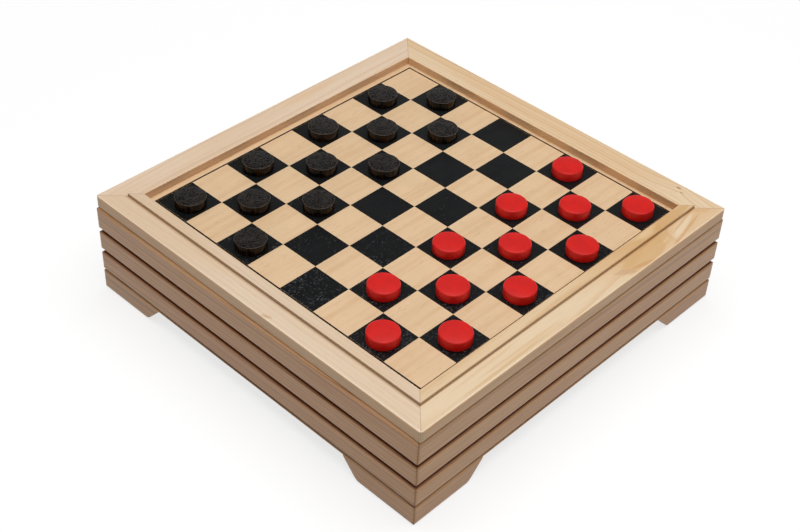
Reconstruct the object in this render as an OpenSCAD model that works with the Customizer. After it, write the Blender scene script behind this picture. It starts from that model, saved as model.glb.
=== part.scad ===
// Games compendium box: a square pine box with grooved, mitred sides on bracket feet, a lift-off
// lid that is a framed draughtboard, and twenty-four turned draughts set out for play.
// Millimetres, +Z up. The origin is on the floor, under the middle of the box.
// The near corner of the board is at -X -Y; the red player sits at -Y and the black player at +Y.

/* [Board] */
// Side of one square of the draughtboard
square_w = 31; // [24:0.5:40]
// Thickness of the board panel
board_t = 5.7; // [4:0.1:9]
// Width of the board between its squares and the frame
board_margin = 5; // [4:0.5:12]
// Width of the black line round the squares
line_w = 1.3; // [0.6:0.1:2]
// How far the middle of the squares lies from the middle of the lid
squares_off = [0.8, -0.8]; // [-1:0.1:1]
// Depth to which the black veneers are let into the board
veneer_t = 0.6; // [0.4:0.1:1]

/* [Lid frame] */
// Width of a frame rail, outside edge to opening
rail_w = 23.5; // [18:0.5:32]
// Height of the flat outer band of a rail
rail_h = 9.5; // [7.5:0.5:14]
// Width of the raised bead along the opening
bead_w = 8; // [5:0.5:12]
// Rise of the bead above the flat band
bead_h = 2.1; // [1:0.1:4]
// Width of the rebate that holds the edge of the board
rebate_w = 6; // [4:0.5:9]
// Play between the edge of the board and the end of its rebate
board_play = 0.5; // [0.2:0.1:1]
// Rounding of the high edges of a rail
rail_edge_r = 0.8; // [0.4:0.1:1.8]
// Rounding of the low outer edge of a rail
rail_low_r = 1.6; // [0.4:0.1:2.4]
// Rounding of the four corners of the lid, in plan
lid_corner_r = 2.4; // [1:0.1:4]

/* [Lid locating strips] */
// Width of a strip under the lid
strip_w = 6; // [4:0.5:10]
// Drop of a strip below the lid
strip_h = 8; // [4:0.5:12]
// Gap between a strip and the inside of the box
strip_gap = 0.6; // [0.4:0.1:1.5]

/* [Box sides] */
// Thickness of a side board
wall_t = 14; // [11:0.5:18]
// How far the box stands out past the lid at the left and right
ledge_w = 1.2; // [0:0.1:3]
// Height of the band that the feet are cut from
foot_band_h = 16; // [15:0.5:24]
// Height of each of the two middle slats
slat_h = 16.4; // [10:0.2:26]
// Height of the top slat
top_slat_h = 18.6; // [16:0.2:30]
// Width of a groove between slats
groove_w = 1.8; // [1.2:0.1:4]
// Depth of a groove between slats
groove_d = 2.6; // [2:0.1:5]
// Rounding of the high edge of a slat
slat_edge_r = 2.2; // [0.5:0.1:2.4]
// Rounding of the low edge of a slat
slat_low_r = 3; // [0.5:0.1:3.6]
// Rounding of the edge that stands on the floor
foot_edge_r = 2; // [0.4:0.1:3]
// Rounding of the upright corners of the box
box_corner_r = 2; // [1:0.5:4]

/* [Bracket feet] */
// Length of a foot along the floor, from the corner
foot_floor_l = 48; // [30:1:70]
// Length of a foot where it meets the apron
foot_top_l = 62; // [40:1:85]
// Height of the apron above the floor
apron_up = 15; // [8:0.5:15]
// Rounding of the toe where a foot turns up to the apron
toe_r = 14; // [1:0.5:16]

/* [Inside] */
// Thickness of the base panel
base_t = 4; // [3:0.5:6]
// Height of the underside of the base panel above the floor
base_up = 18; // [16:0.5:24]
// Depth of the housing in the sides that holds the base panel
base_housing_d = 4; // [2:0.5:5]
// Play between the edge of the base panel and the end of its housing
base_play = 0.5; // [0.2:0.1:1]
// Thickness of a divider
divider_t = 4; // [3:0.5:6]
// How far the dividers stop below the lid
divider_drop = 14.8; // [13:0.2:24]
// Play of the halving joints where dividers cross
halving_play = 0.3; // [0.2:0.1:0.6]

/* [Draughts] */
// Diameter of a draught
draught_d = 22; // [16:0.5:26]
// Thickness of a draught
draught_t = 7.4; // [5:0.1:10]
// Rounding of the top edge of a red draught
red_edge_r = 1; // [0.5:0.1:2.2]
// Rounding of the top edge of a black draught
black_edge_r = 0.5; // [0.4:0.1:2]
// Rounding of the edge that a draught stands on
turn_foot_r = 0.6; // [0.3:0.1:1]
// Rise of the turned face of a draught at its middle
draught_crown = 0.3; // [0.1:0.1:0.6]
// How far the red draughts stand from the middle of their squares
red_nudge = [-1.4, -1.3]; // [-3:0.1:3]
// How far the black draughts stand from the middle of their squares
black_nudge = [-1.6, -2.6]; // [-3:0.1:3]
// How far a hand-placed draught strays from its row
stray = 0.5; // [0:0.1:1.5]

/* [Hidden] */

// Colours
pine = "#E2CBA2";
pine_side = "#C3A27C";
maple = "#DDBF95";
stain_black = "#17181A";
lacquer_red = "#D9261F";

// Counts
squares_across = 8;
rows_per_player = 3;
draughts_per_row = squares_across / 2;

// Sizes that follow from the ones above
round_fn = 48;
over = 2;
chequer_half = squares_across / 2 * square_w;
opening_half = chequer_half + board_margin;
lid_half = opening_half + rail_w;
box_half_x = lid_half + ledge_w;
box_half_y = lid_half;
slat_z = [0, foot_band_h, foot_band_h + slat_h + groove_w, foot_band_h + 2 * (slat_h + groove_w)];
slat_heights = [foot_band_h, slat_h, slat_h, top_slat_h];
box_h = slat_z[3] + top_slat_h;
board_top = box_h + board_t;
rail_lip = rail_w - rebate_w;
board_half = lid_half - rail_lip - board_play;
veneer_clear = 0.05;
inner_half_x = box_half_x - wall_t;
inner_half_y = box_half_y - wall_t;
strip_half_x = inner_half_x - strip_gap;
strip_half_y = inner_half_y - strip_gap;
base_top = base_up + base_t;
divider_h = box_h - divider_drop - base_top;
cross_x = inner_half_x / 3;

// ---------------------------------------------------------------- shared shapes

// What an edge rounding takes off a corner at the origin whose material lies towards -x -y.
module edge_waste(r) {
    difference() {
        translate([-r, -r]) square(r + over);
        translate([-r, -r]) circle(r, $fn = round_fn);
    }
}

// Turns a section, with x measured outwards from the middle, into a moulding that runs along X.
module run_along_x(length) {
    rotate([90, 0, 90]) linear_extrude(length, center = true) children();
}

// One side of a mitred frame: the section runs along X at the +Y side, cut at 45 degrees at both
// ends, and its two upright outer corners are rounded.
module mitred_side(half_len, half_out, depth, height, corner_r) {
    reach = depth + over;
    difference() {
        intersection() {
            run_along_x(2 * (half_len + over)) translate([half_out - depth, 0]) children();
            translate([0, 0, -over])
                linear_extrude(height + 2 * over)
                    polygon([
                        [-half_len - over, half_out + over], [-half_len + reach, half_out - reach],
                        [half_len - reach, half_out - reach], [half_len + over, half_out + over]
                    ]);
        }
        for (end = [0, 1])
            mirror([end, 0, 0])
                translate([half_len, half_out, -over])
                    linear_extrude(height + 2 * over) edge_waste(corner_r);
    }
}

// ---------------------------------------------------------------- box

// Section of one slat: a bar on the inner face of the wall with its outer edges rounded.
module slat_section(height, low_r, high_r) {
    difference() {
        square([wall_t, height]);
        translate([wall_t, height]) edge_waste(high_r);
        translate([wall_t, 0]) mirror([0, 1]) edge_waste(low_r);
    }
}

// Section of a side board: three rounded slats over the foot band, two open grooves between the
// slats and a V where the lowest slat meets the band, with the housing for the base inside.
module side_section() {
    difference() {
        union() {
            square([wall_t - groove_d, box_h]);
            for (i = [0:3])
                translate([0, slat_z[i]])
                    slat_section(slat_heights[i], i == 0 ? foot_edge_r : slat_low_r, slat_edge_r);
        }
        translate([-over, base_up]) square([base_housing_d + over, base_t]);
    }
}

// The arch between two bracket feet: wider at the floor than at the apron. The toe of each foot is
// rounded by a circle that touches both the floor and the slope.
module apron_arch(half_len) {
    top_half = half_len - foot_top_l;
    rise = atan2(apron_up, foot_top_l - foot_floor_l);
    toe_x = half_len - foot_floor_l + toe_r * tan(rise / 2);
    slope_x = toe_x - toe_r * sin(rise);
    slope_z = toe_r * (1 - cos(rise));
    rotate([90, 0, 0])
        linear_extrude(2 * (wall_t + over), center = true)
            difference() {
                polygon([
                    [-toe_x, -over], [toe_x, -over], [toe_x, toe_r], [slope_x, slope_z],
                    [top_half, apron_up], [-top_half, apron_up], [-slope_x, slope_z], [-toe_x, toe_r]
                ]);
                for (x = [-toe_x, toe_x]) translate([x, toe_r]) circle(toe_r, $fn = round_fn);
            }
}

module side_board(half_len, half_out) {
    color(pine_side)
        difference() {
            mitred_side(half_len, half_out, wall_t, box_h, box_corner_r) side_section();
            translate([0, half_out - wall_t / 2, 0]) apron_arch(half_len);
        }
}

module side_back() { side_board(box_half_x, box_half_y); }
module side_front() { rotate(180) side_board(box_half_x, box_half_y); }
module side_left() { rotate(90) side_board(box_half_y, box_half_x); }
module side_right() { rotate(-90) side_board(box_half_y, box_half_x); }

// The base is let into the housings of all four sides, a little short of their bottoms.
module base_panel() {
    reach = base_housing_d - base_play;
    color(maple)
        translate([0, 0, base_up + base_t / 2])
            cube([2 * (inner_half_x + reach), 2 * (inner_half_y + reach), base_t], center = true);
}

// ---------------------------------------------------------------- dividers

// A divider on edge along X, with its halving slots cut from the top or from the bottom.
module divider(length, slots, from_top) {
    slot_w = divider_t + halving_play;
    slot_z = from_top ? divider_h / 2 : -over;
    slot_h = divider_h / 2 + over;
    color(maple)
        translate([0, 0, base_top])
            difference() {
                translate([-length / 2, -divider_t / 2, 0]) cube([length, divider_t, divider_h]);
                for (x = slots)
                    translate([x - slot_w / 2, -divider_t, slot_z])
                        cube([slot_w, 2 * divider_t, slot_h]);
            }
}

module divider_long() { divider(2 * inner_half_x, [-cross_x, cross_x], true); }
module divider_cross(x) { translate([x, 0, 0]) rotate(90) divider(2 * inner_half_y, [0], false); }
module divider_cross_left() { divider_cross(-cross_x); }
module divider_cross_right() { divider_cross(cross_x); }

// ---------------------------------------------------------------- lid

// Section of a rail, x from the opening outwards: a raised bead, a flat band and a rebate below.
module rail_section() {
    top = rail_h + bead_h;
    difference() {
        union() {
            square([rail_w, rail_h]);
            square([bead_w, top]);
        }
        translate([-over, -over]) square([rebate_w + over, board_t + over]);
        translate([rail_w, rail_h]) edge_waste(rail_edge_r);
        translate([rail_w, 0]) mirror([0, 1]) edge_waste(rail_low_r);
        translate([bead_w, top]) edge_waste(rail_edge_r / 2);
        translate([0, top]) mirror([1, 0]) edge_waste(rail_edge_r / 2);
    }
}

module lid_rail() {
    color(pine)
        translate([0, 0, box_h])
            mitred_side(lid_half, lid_half, rail_w, rail_h + bead_h, lid_corner_r) rail_section();
}

module lid_rail_back() { lid_rail(); }
module lid_rail_front() { rotate(180) lid_rail(); }
module lid_rail_left() { rotate(90) lid_rail(); }
module lid_rail_right() { rotate(-90) lid_rail(); }

// A strip under the lid that drops inside the box: a square bar with a lead-in at its low corner.
module lid_strip(length, half_out) {
    lead = strip_w / 3;
    color(pine)
        translate([0, 0, box_h - strip_h])
            run_along_x(length)
                translate([half_out - strip_w, 0])
                    polygon([[0, 0], [strip_w - lead, 0], [strip_w, lead], [strip_w, strip_h], [0, strip_h]]);
}

module lid_strip_back() { lid_strip(2 * strip_half_x, strip_half_y); }
module lid_strip_front() { rotate(180) lid_strip(2 * strip_half_x, strip_half_y); }
module lid_strip_left() { rotate(90) lid_strip(2 * (strip_half_y - strip_w), strip_half_x); }
module lid_strip_right() { rotate(-90) lid_strip(2 * (strip_half_y - strip_w), strip_half_x); }

// ---------------------------------------------------------------- board

// Middle of a square: column along X and row along Y, both counted from the near corner.
function square_at(col, row) =
    squares_off + ([col, row] + [0.5, 0.5]) * square_w - [chequer_half, chequer_half];

// Plan of the black squares. They stop short of one another at their corners and short of the line.
module chequer_plan() {
    side = square_w - 2 * veneer_clear;
    for (col = [0:squares_across - 1])
        for (row = [0:squares_across - 1])
            if ((col + row) % 2 == 1) translate(square_at(col, row)) square(side, center = true);
}

module line_plan() {
    translate(squares_off)
        difference() {
            square(2 * (chequer_half + line_w), center = true);
            square(2 * chequer_half, center = true);
        }
}

module board_panel() {
    color(maple)
        difference() {
            translate([-board_half, -board_half, box_h]) cube([2 * board_half, 2 * board_half, board_t]);
            translate([0, 0, board_top - veneer_t]) linear_extrude(veneer_t + over) chequer_plan();
            translate([0, 0, board_top - veneer_t]) linear_extrude(veneer_t + over) line_plan();
        }
}

module veneer() {
    color(stain_black) translate([0, 0, board_top - veneer_t]) linear_extrude(veneer_t) children();
}

module black_squares() { veneer() chequer_plan(); }
module border_line() { veneer() line_plan(); }

// ---------------------------------------------------------------- draughts

// A turned disc: a slightly crowned face, a rounded top edge and a small rounding at the foot.
module draught(edge_r) {
    r = draught_d / 2;
    flat_r = r - edge_r;
    crown_r = (flat_r * flat_r + draught_crown * draught_crown) / (2 * draught_crown);
    shoulder = draught_t - draught_crown;
    rotate_extrude($fn = 72)
        union() {
            difference() {
                square([r, shoulder]);
                translate([r, shoulder]) edge_waste(edge_r);
                translate([r, 0]) mirror([0, 1]) edge_waste(turn_foot_r);
            }
            intersection() {
                translate([0, shoulder - turn_foot_r]) square([flat_r, draught_crown + turn_foot_r]);
                translate([0, draught_t - crown_r]) circle(crown_r, $fn = round_fn * 8);
            }
        }
}

// The dark square that a player's draught stands on, counted along the rows from the player's edge.
function draught_row(count, rows_from) = abs(rows_from - floor(count / draughts_per_row));
function draught_col(count, row) = 2 * (count % draughts_per_row) + (row + 1) % 2;
function strays(count) = stray * [cos(137.5 * count), sin(137.5 * count)];

module set_draught(count, rows_from, nudge) {
    row = draught_row(count, rows_from);
    at = square_at(draught_col(count, row), row) + nudge + strays(count);
    translate([at[0], at[1], board_top]) children();
}

module red_draught(number) {
    color(lacquer_red) set_draught(number - 1, 0, red_nudge) draught(red_edge_r);
}

module black_draught(number) {
    color(stain_black)
        set_draught(number - 1, squares_across - 1, black_nudge) draught(black_edge_r);
}

// ---------------------------------------------------------------- nodes

side_front();
side_back();
side_left();
side_right();
base_panel();
divider_long();
divider_cross_left();
divider_cross_right();
lid_rail_front();
lid_rail_back();
lid_rail_left();
lid_rail_right();
board_panel();
black_squares();
border_line();
lid_strip_front();
lid_strip_back();
lid_strip_left();
lid_strip_right();
red_draught(1);  // red_draught_01
red_draught(2);  // red_draught_02
red_draught(3);  // red_draught_03
red_draught(4);  // red_draught_04
red_draught(5);  // red_draught_05
red_draught(6);  // red_draught_06
red_draught(7);  // red_draught_07
red_draught(8);  // red_draught_08
red_draught(9);  // red_draught_09
red_draught(10);  // red_draught_10
red_draught(11);  // red_draught_11
red_draught(12);  // red_draught_12
black_draught(1);  // black_draught_01
black_draught(2);  // black_draught_02
black_draught(3);  // black_draught_03
black_draught(4);  // black_draught_04
black_draught(5);  // black_draught_05
black_draught(6);  // black_draught_06
black_draught(7);  // black_draught_07
black_draught(8);  // black_draught_08
black_draught(9);  // black_draught_09
black_draught(10);  // black_draught_10
black_draught(11);  // black_draught_11
black_draught(12);  // black_draught_12
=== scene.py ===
"""Games compendium box: the finish of every board, the turned draughts, and a plain studio round them.

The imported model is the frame. Its boards, panel and veneers stay as they are and are dressed here, and the
draughts are turned again with finer curves. Blender works in metres, so a size in millimetres says so in
its name. +Z is up, and the near corner of the board in the picture is at -X -Y.
"""

import logging
import math
from abc import ABC, abstractmethod
from collections.abc import Mapping, Sequence
from dataclasses import dataclass
from enum import Enum

import bmesh
import bpy
from mathutils import Matrix, Vector


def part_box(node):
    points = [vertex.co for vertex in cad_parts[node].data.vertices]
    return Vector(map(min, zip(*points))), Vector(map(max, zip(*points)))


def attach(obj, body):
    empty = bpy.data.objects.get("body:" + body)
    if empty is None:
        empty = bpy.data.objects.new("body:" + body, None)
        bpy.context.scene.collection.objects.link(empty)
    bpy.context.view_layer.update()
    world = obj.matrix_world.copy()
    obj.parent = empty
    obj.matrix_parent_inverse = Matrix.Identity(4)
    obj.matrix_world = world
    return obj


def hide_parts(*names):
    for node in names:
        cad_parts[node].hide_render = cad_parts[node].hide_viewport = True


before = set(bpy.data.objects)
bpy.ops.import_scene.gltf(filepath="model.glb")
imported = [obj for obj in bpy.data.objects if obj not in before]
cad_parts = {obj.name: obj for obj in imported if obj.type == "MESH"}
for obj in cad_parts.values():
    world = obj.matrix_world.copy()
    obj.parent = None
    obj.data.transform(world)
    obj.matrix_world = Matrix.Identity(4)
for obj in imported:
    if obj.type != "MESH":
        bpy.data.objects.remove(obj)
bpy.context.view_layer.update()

LOG = logging.getLogger("games_box")
MM = 0.001
PICTURE_W = 800
SENSOR_MM = 36.0
# Varnish and lacquer bend light by about this much.
FINISH_IOR = 1.5
# Nearly all of a noise pattern lies between these two values.
NOISE_LOW = 0.3
NOISE_HIGH = 0.7

Socket = bpy.types.NodeSocket
Material = bpy.types.Material
Colour = tuple[float, float, float, float]
Span = tuple[float, float]
Triple = tuple[float, float, float]


def linear(code: str) -> Colour:
    """Turns an sRGB hex colour into the linear colour that a shader socket takes.

    Args:
        code: The colour as "#RRGGBB".

    Returns:
        Red, green, blue and a full alpha.
    """
    parts = [int(code[i : i + 2], 16) / 255 for i in (1, 3, 5)]
    red, green, blue = (c / 12.92 if c <= 0.04045 else ((c + 0.055) / 1.055) ** 2.4 for c in parts)
    return (red, green, blue, 1.0)


def grey(value: float) -> Colour:
    """Gives the linear grey of this value."""
    return (value, value, value, 1.0)


def per_mm(size_mm: Triple) -> Triple:
    """Gives the Mapping scale at which one unit of a pattern covers this size of the object."""
    along, across, through = size_mm
    return (1 / (along * MM), 1 / (across * MM), 1 / (through * MM))


# ------------------------------------------------------------------ node trees


class Bench:
    """The node tree of a material or of the world, with the one call that adds a node to it."""

    def __init__(self, tree: bpy.types.NodeTree) -> None:
        """Clears the tree to start from nothing."""
        self.tree = tree
        self.tree.nodes.clear()

    def add(
        self,
        kind: str,
        inputs: Mapping[str | int, object] | None = None,
        out: str = "",
        stops: Sequence[tuple[float, Colour]] = (),
        **settings: object,
    ) -> Socket | None:
        """Adds a node with its settings and links.

        Args:
            kind: Type of node, without the ShaderNode that each type's name starts with.
            inputs: What each input takes, by its name or number: an output to link, or a value.
            out: Name of the output that is wanted, or nothing for the first one in use.
            stops: Places and colours of a colour ramp.
            settings: The node's own settings.

        Returns:
            The output that is wanted, or None where the node has none.
        """
        node = self.tree.nodes.new("ShaderNode" + kind)
        for name, value in settings.items():
            setattr(node, name, value)
        for key, value in (inputs or {}).items():
            used = [s for s in node.inputs if s.enabled]
            socket = used[key] if isinstance(key, int) else next(s for s in used if s.name == key)
            if isinstance(value, Socket):
                self.tree.links.new(value, socket)
            else:
                socket.default_value = value
        for i, (place, colour) in enumerate(stops):
            ramp = node.color_ramp.elements
            stop = ramp[i] if i < len(ramp) else ramp.new(place)
            stop.position = place
            stop.color = colour
        return next((s for s in node.outputs if s.enabled and out in ("", s.name)), None)


def new_material(name: str) -> tuple[Material, Bench]:
    """Makes an empty material.

    Args:
        name: Name of the material.

    Returns:
        The material and the bench of its node tree.
    """
    material = bpy.data.materials.new(name)
    material.use_nodes = True
    return material, Bench(material.node_tree)


# ------------------------------------------------------------------ boards and what marks them


class Turn(Enum):
    """Turn about Z, in degrees, that lays a board along X with its outer face towards +Y."""

    BACK = 0
    FRONT = 180
    LEFT = -90
    RIGHT = 90


class Surface(Enum):
    """How planed timber is finished, by the roughness that it has then."""

    VARNISHED = 0.36
    BARE = 0.72


def lay(bench: Bench, turn: Turn) -> Socket:
    """Gives coordinates in which a board lies along X with its outer face towards +Y.

    Args:
        bench: The material's bench.
        turn: Which way the board is turned for that.

    Returns:
        The coordinates, with Y outwards from the middle of the box and Z up from the floor.
    """
    place = bench.add("TexCoord", out="Object")
    return bench.add("Mapping", {"Vector": place, "Rotation": (0, 0, math.radians(turn.value))})


def figure(
    bench: Bench, board: Socket, size_mm: Triple, detail: float, shift: float = 0.0, out: str = ""
) -> Socket:
    """Adds an uneven pattern, as wood has, whose features are of this size.

    Args:
        bench: The material's bench.
        board: Coordinates laid along X.
        size_mm: Size of a feature along, across and through the board.
        detail: How many finer layers the pattern has.
        shift: How many features the pattern is moved along, for a board with grain of its own.
        out: Which output of the pattern is wanted.

    Returns:
        The pattern.
    """
    cells = bench.add("Mapping", {"Vector": board, "Location": (shift, 0, 0), "Scale": per_mm(size_mm)})
    return bench.add("TexNoise", {"Vector": cells, "Scale": 1.0, "Detail": detail}, out=out)


class Mark(ABC):
    """Something that colours a board in one place, such as a seam, a stain or a streak."""

    colour: str

    @abstractmethod
    def where(self, bench: Bench, board: Socket) -> Socket:
        """Gives the strength of the mark at each point, from coordinates laid along X."""

    def paint(self, bench: Bench, colour: Socket) -> Socket | Colour:
        """Gives the colour that the mark has where the board has this one."""
        return linear(self.colour)

    def tint(self, bench: Bench, board: Socket, colour: Socket) -> Socket:
        """Lays the mark on a board.

        Args:
            bench: The material's bench.
            board: Coordinates laid along X.
            colour: The colour so far.

        Returns:
            The colour with the mark on it.
        """
        paint = self.paint(bench, colour)
        share = self.where(bench, board)
        return bench.add("Mix", {"Factor": share, "A": colour, "B": paint}, data_type="RGBA")


@dataclass(frozen=True)
class MitreSeam(Mark):
    """The glue line of a mitre: a hairline where two boards meet at 45 degrees.

    Attributes:
        off_mm: How much further the mitre lies along the board than out from the middle of the box.
        width_mm: How far along the board from the mitre the line has faded out.
        core: Share of that way over which it is full.
        colour: Its colour.
        show: Its strength.
    """

    off_mm: float = 0.0
    width_mm: float = 0.45
    core: float = 0.2
    colour: str = "#7A5233"
    show: float = 0.55

    def where(self, bench: Bench, board: Socket) -> Socket:
        """Draws the hairline.

        Args:
            bench: The material's bench.
            board: Coordinates laid along X.

        Returns:
            The strength of the line.
        """
        size = bench.add("VectorMath", {0: board}, operation="ABSOLUTE")
        apart = bench.add("VectorMath", {0: size, 1: (1, -1, 0)}, operation="DOT_PRODUCT", out="Value")
        reach = bench.add("Math", {0: apart, 1: self.off_mm * MM}, operation="SUBTRACT")
        gap = bench.add("Math", {0: reach}, operation="ABSOLUTE")
        width = self.width_mm * MM
        return bench.add(
            "MapRange",
            {"Value": gap, "From Min": self.core * width, "From Max": width, "To Min": self.show,
             "To Max": 0.0},
        )


@dataclass(frozen=True)
class Groove:
    """A groove or an open joint along a side.

    Attributes:
        middle_mm: Height of its middle over the floor.
        half_mm: Half its height.
        show: Strength of the stain and painted shade in it.
    """

    middle_mm: float
    half_mm: float
    show: float


@dataclass(frozen=True)
class GrooveStainAndShade(Mark):
    """Varnish gathered in the grooves of a side, with painted shade: a red-brown, darker the deeper it lies.

    Attributes:
        grooves: The grooves that it lies in.
        face_mm: How far the face of the board stands from the middle of the box.
        full_mm: Depth at which the stain is full.
        end_mm: Depth past every groove, where the stain stops.
        reach_mm: How far the stain runs over the rounded edges beside a groove.
        fade_mm: The last part of that, over which it fades.
        colour: Its colour.
    """

    grooves: tuple[Groove, ...]
    face_mm: float
    full_mm: float = 1.5
    end_mm: float = 3.4
    # reach_mm: How far the stain and painted shade run over the rounded edges beside a groove.
    reach_mm: float = 3.0
    fade_mm: float = 0.6
    colour: str = "#713309"

    def where(self, bench: Bench, board: Socket) -> Socket:
        """Stains the grooves and paints their shade.

        Args:
            bench: The material's bench.
            board: Coordinates laid along X.

        Returns:
            The strength of the stain.
        """
        out = bench.add("VectorMath", {0: board, 1: (0, 1, 0)}, operation="DOT_PRODUCT", out="Value")
        up = bench.add("VectorMath", {0: board, 1: (0, 0, 1)}, operation="DOT_PRODUCT", out="Value")
        level = None
        for groove in self.grooves:
            away = bench.add("Math", {0: up, 1: groove.middle_mm * MM}, operation="SUBTRACT")
            size = bench.add("Math", {0: away}, operation="ABSOLUTE")
            reach = groove.half_mm + self.reach_mm
            one = bench.add(
                "MapRange",
                {"Value": size, "From Min": (reach - self.fade_mm) * MM, "From Max": reach * MM,
                 "To Min": groove.show, "To Max": 0.0},
            )
            level = one if level is None else bench.add("Math", {0: level, 1: one}, operation="MAXIMUM")
        # Darker the deeper it lies: painted shade in the groove.
        deep = bench.add("Math", {0: self.face_mm * MM, 1: out}, operation="SUBTRACT")
        inside = bench.add("MapRange", {"Value": deep, "From Max": self.full_mm * MM})
        within = bench.add("Math", {0: deep, 1: self.end_mm * MM}, operation="LESS_THAN")
        both = bench.add("Math", {0: level, 1: inside}, operation="MULTIPLY")
        return bench.add("Math", {0: both, 1: within}, operation="MULTIPLY")


@dataclass(frozen=True)
class FaceToneAndShade(Mark):
    """A deeper tone on one side of a line along a rail. On the rails' upright faces it is painted shade.

    Attributes:
        face_mm: How far the face stands from the middle of the box.
        tone: What red, green and blue are multiplied by there.
        side: 1 for a face that looks outwards, -1 for one that looks inwards.
        start_mm: Depth behind the face at which the tone starts.
        full_mm: Depth behind the face from which it is full.
    """

    face_mm: float
    tone: Triple
    side: int = 1
    start_mm: float = 0.7
    full_mm: float = 0.1

    def where(self, bench: Bench, board: Socket) -> Socket:
        """Finds the face.

        Args:
            bench: The material's bench.
            board: Coordinates laid along X.

        Returns:
            The strength of the tone.
        """
        facing = (0, self.side, 0)
        out = bench.add("VectorMath", {0: board, 1: facing}, operation="DOT_PRODUCT", out="Value")
        edge = self.side * self.face_mm * MM
        return bench.add(
            "MapRange",
            {"Value": out, "From Min": edge - self.start_mm * MM, "From Max": edge - self.full_mm * MM},
        )

    def paint(self, bench: Bench, colour: Socket) -> Socket:
        """Gives the deeper tone of this colour."""
        return bench.add("VectorMath", {0: colour, 1: self.tone}, operation="MULTIPLY")


@dataclass(frozen=True)
class Patch(Mark):
    """A soft patch of warmer or paler timber, as where the board was cut beside a branch.

    Attributes:
        middle_mm: Place of its middle, along the board and outwards.
        half_mm: Half its length and half its width.
        slant_deg: How far it is turned out of the grain.
        colour: Its colour.
        show: How strong it is at its middle.
        soft: Share of its size over which it fades.
        torn: Share of its size by which the grain tears its edge.
        grain_mm: Size of the grain that tears it.
    """

    middle_mm: Span
    half_mm: Span
    slant_deg: float
    colour: str
    show: float
    soft: float = 0.5
    torn: float = 0.9
    grain_mm: Triple = (30, 2.5, 2.5)

    def where(self, bench: Bench, board: Socket) -> Socket:
        """Lays the patch.

        Args:
            bench: The material's bench.
            board: Coordinates laid along X.

        Returns:
            The strength of the patch.
        """
        along, out = self.middle_mm
        length, width = self.half_mm
        moved = bench.add("VectorMath", {0: board, 1: (along * MM, out * MM, 0)}, operation="SUBTRACT")
        flat = bench.add("Mapping", {"Vector": moved, "Rotation": (0, 0, math.radians(-self.slant_deg))})
        ragged = figure(bench, flat, self.grain_mm, detail=2)
        reach = (1 / (length * MM), 1 / (width * MM), 0)
        size = bench.add("VectorMath", {0: flat, 1: reach}, operation="MULTIPLY")
        radius = bench.add("VectorMath", {0: size}, operation="LENGTH", out="Value")
        torn = bench.add("Math", {0: ragged, 1: self.torn, 2: radius}, operation="MULTIPLY_ADD")
        edge = 1 + self.torn / 2
        return bench.add(
            "MapRange",
            {"Value": torn, "From Min": edge - self.soft, "From Max": edge, "To Min": self.show,
             "To Max": 0.0},
            interpolation_type="SMOOTHSTEP",
        )


@dataclass(frozen=True)
class Streak(Mark):
    """A band of colour along a rail at a set distance out, used for painted highlights, painted shade and a
    tan strip.

    Attributes:
        from_mm: How far out it starts.
        to_mm: How far out it ends.
        colour: Its colour.
        show: Its strength.
        rise_mm: Width over which it starts.
        fade_mm: Width over which it fades to each side of its end.
    """

    from_mm: float
    to_mm: float
    colour: str
    show: float
    rise_mm: float = 0.1
    fade_mm: float = 0.5

    def where(self, bench: Bench, board: Socket) -> Socket:
        """Draws the streak.

        Args:
            bench: The material's bench.
            board: Coordinates laid along X.

        Returns:
            The strength of the streak.
        """
        out = bench.add("VectorMath", {0: board, 1: (0, 1, 0)}, operation="DOT_PRODUCT", out="Value")
        start = self.from_mm * MM
        end = self.to_mm * MM
        fade = self.fade_mm * MM
        rise = bench.add("MapRange", {"Value": out, "From Min": start, "From Max": start + self.rise_mm * MM})
        fall = bench.add(
            "MapRange",
            {"Value": out, "From Min": end - fade, "From Max": end + fade, "To Min": self.show,
             "To Max": 0.0},
        )
        return bench.add("Math", {0: rise, 1: fall}, operation="MULTIPLY")


# ------------------------------------------------------------------ timber


@dataclass(frozen=True)
class Cut:
    """How a board laid along X was cut from its log.

    Attributes:
        heart_mm: Place of the heart of the log, outwards from the middle of the box and up from the floor.
        lean_mm: How far the heart moves outwards and upwards over a metre along the board.
        wander_mm: How far the rings wander from true.
        shift: How many features each pattern is moved along, which gives each board grain of its own.
    """

    heart_mm: Span
    lean_mm: Span = (12.0, 8.0)
    wander_mm: float = 7.0
    shift: float = 0.0


@dataclass(frozen=True)
class Knot:
    """A knot in a board laid along X.

    Attributes:
        along_mm: Its place along the board.
        out_mm: Its place outwards from the middle of the box.
        radius_mm: Its radius across the grain.
        swell: How many rings it pushes aside.
        dark: Strength of its brown core.
        core_at: How near the middle the core starts and is full, where 1 is the middle.
        across: Its width as a share of its length.
    """

    along_mm: float
    out_mm: float
    radius_mm: float
    swell: float = 1.4
    dark: float = 0.8
    core_at: Span = (0.45, 0.85)
    across: float = 0.55

    def near(self, bench: Bench, board: Socket) -> Socket:
        """Gives 1 at the middle of the knot, falling softly to 0 past its edge.

        Args:
            bench: The material's bench.
            board: Coordinates laid along X.

        Returns:
            How near each point is.
        """
        middle = (self.along_mm * MM, self.out_mm * MM, 0)
        reach = 1 / (self.radius_mm * MM)
        moved = bench.add("VectorMath", {0: board, 1: middle}, operation="SUBTRACT")
        scaled = bench.add("VectorMath", {0: moved, 1: (self.across * reach, reach, 0)}, operation="MULTIPLY")
        square = bench.add("VectorMath", {0: scaled, 1: scaled}, operation="DOT_PRODUCT", out="Value")
        minus = bench.add("Math", {0: square, 1: -1.0}, operation="MULTIPLY")
        return bench.add("Math", {0: minus}, operation="EXPONENT")


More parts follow.
